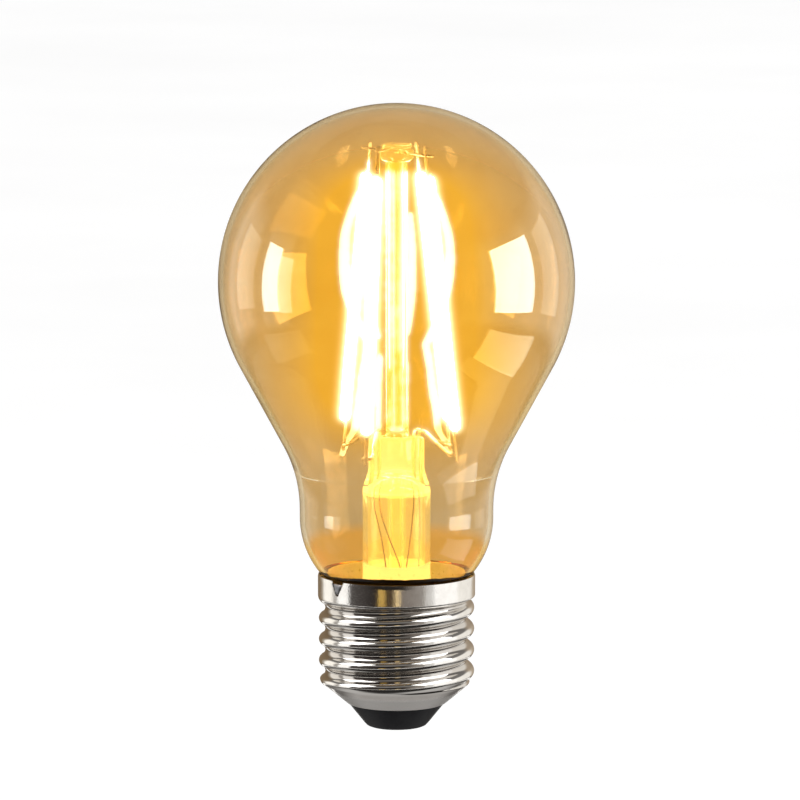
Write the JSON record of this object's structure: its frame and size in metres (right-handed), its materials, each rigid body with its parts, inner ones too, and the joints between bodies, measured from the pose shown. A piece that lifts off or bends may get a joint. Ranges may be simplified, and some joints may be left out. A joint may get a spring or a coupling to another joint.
{
  "type": "smart light bulb",
  "caption": "Amber pear-shaped glass lamp with leaning LED filaments on a glass stem, a wireless driver in its cap and a standard Edison screw base.",
  "frame": {"origin": "tip of the centre contact, on the lamp axis", "axes": "+Z along the lamp axis from the contact to the crown of the glass; -Y faces the viewer; +X is to the right"},
  "size_m": [0.0602, 0.0602, 0.1062],
  "materials": {
    "amber_glass": "polished, amber lustre coat",
    "stem_glass": "polished, clear soda-lime glass",
    "phosphor": "matte silicone with yellow phosphor",
    "ceramic_strip": "translucent white alumina",
    "led_chip": "bare chips under gel",
    "nickel_wire": "drawn nickel wire and stamped pins",
    "copper_sheath": "copper-clad seal wire with a borated red skin",
    "copper_wire": "bare copper",
    "nickel_plate": "bright nickel plate on rolled brass",
    "contact_metal": "nickel-plated stamping",
    "solder": "dull tin solder",
    "cement": "baked phenolic capping cement",
    "black_insulator": "moulded black insulator, satin",
    "paper_sleeve": "thin insulation film",
    "circuit_board": "solder-masked glass-epoxy board",
    "chip_body": "moulded epoxy",
    "chip_ceramic": "ceramic chip with tinned ends",
    "capacitor_can": "bare top of a drawn can",
    "capacitor_film": "shrunk film sleeve",
    "ferrite": "sintered ferrite",
    "enamelled_copper": "enamelled copper turns",
    "tin_plate": "tin-plated steel can",
    "gold_pin": "gold flash",
    "resistor_coat": "green-grey ceramic coating",
    "glass_fibre_sleeve": "woven glass sleeve",
    "tinned_wire": "tinned copper",
    "red_insulation": "silicone insulation"
  },
  "bodies": {
    "root": {"glass_envelope": "amber_glass", "glass_stem": "stem_glass", "exhaust_tube": "stem_glass", "support_column": "stem_glass", "column_button": "stem_glass", "link_wire_a": "nickel_wire", "link_wire_b": "nickel_wire", "filament_1_coating": "phosphor", "filament_2_coating": "phosphor", "filament_3_coating": "phosphor", "filament_4_coating": "phosphor", "filament_1_substrate": "ceramic_strip", "filament_2_substrate": "ceramic_strip", "filament_3_substrate": "ceramic_strip", "filament_4_substrate": "ceramic_strip", "filament_1_chips": "led_chip", "filament_2_chips": "led_chip", "filament_3_chips": "led_chip", "filament_4_chips": "led_chip", "filament_1_top_pin": "nickel_wire", "filament_2_top_pin": "nickel_wire", "filament_3_top_pin": "nickel_wire", "filament_4_top_pin": "nickel_wire", "filament_1_bottom_pin": "nickel_wire", "filament_2_bottom_pin": "nickel_wire", "filament_3_bottom_pin": "nickel_wire", "filament_4_bottom_pin": "nickel_wire", "lead_support_1": "nickel_wire", "lead_support_2": "nickel_wire", "lead_support_3": "nickel_wire", "lead_support_4": "nickel_wire", "press_seal_wires": "copper_sheath", "lead_tail_1": "copper_wire", "lead_tail_2": "copper_wire", "lead_tail_3": "copper_wire", "lead_tail_4": "copper_wire", "screw_shell": "nickel_plate", "side_solder": "solder", "capping_cement": "cement", "cap_insulator": "black_insulator", "centre_contact": "contact_metal", "insulation_sleeve": "paper_sleeve", "driver_board": "circuit_board", "bridge_rectifier": "chip_body", "driver_chip": "chip_body", "surface_mount_parts": "chip_ceramic", "smoothing_capacitor": "capacitor_can", "capacitor_sleeve": "capacitor_film", "inductor_core": "ferrite", "inductor_winding": "enamelled_copper", "wireless_board": "circuit_board", "wireless_shield": "tin_plate", "wireless_chip": "chip_body", "board_pins": "gold_pin", "fusible_resistor": "resistor_coat", "resistor_sleeve": "glass_fibre_sleeve", "resistor_lead": "tinned_wire", "live_wire": "red_insulation", "neutral_wire": "tinned_wire"}
  },
  "joints": []
}
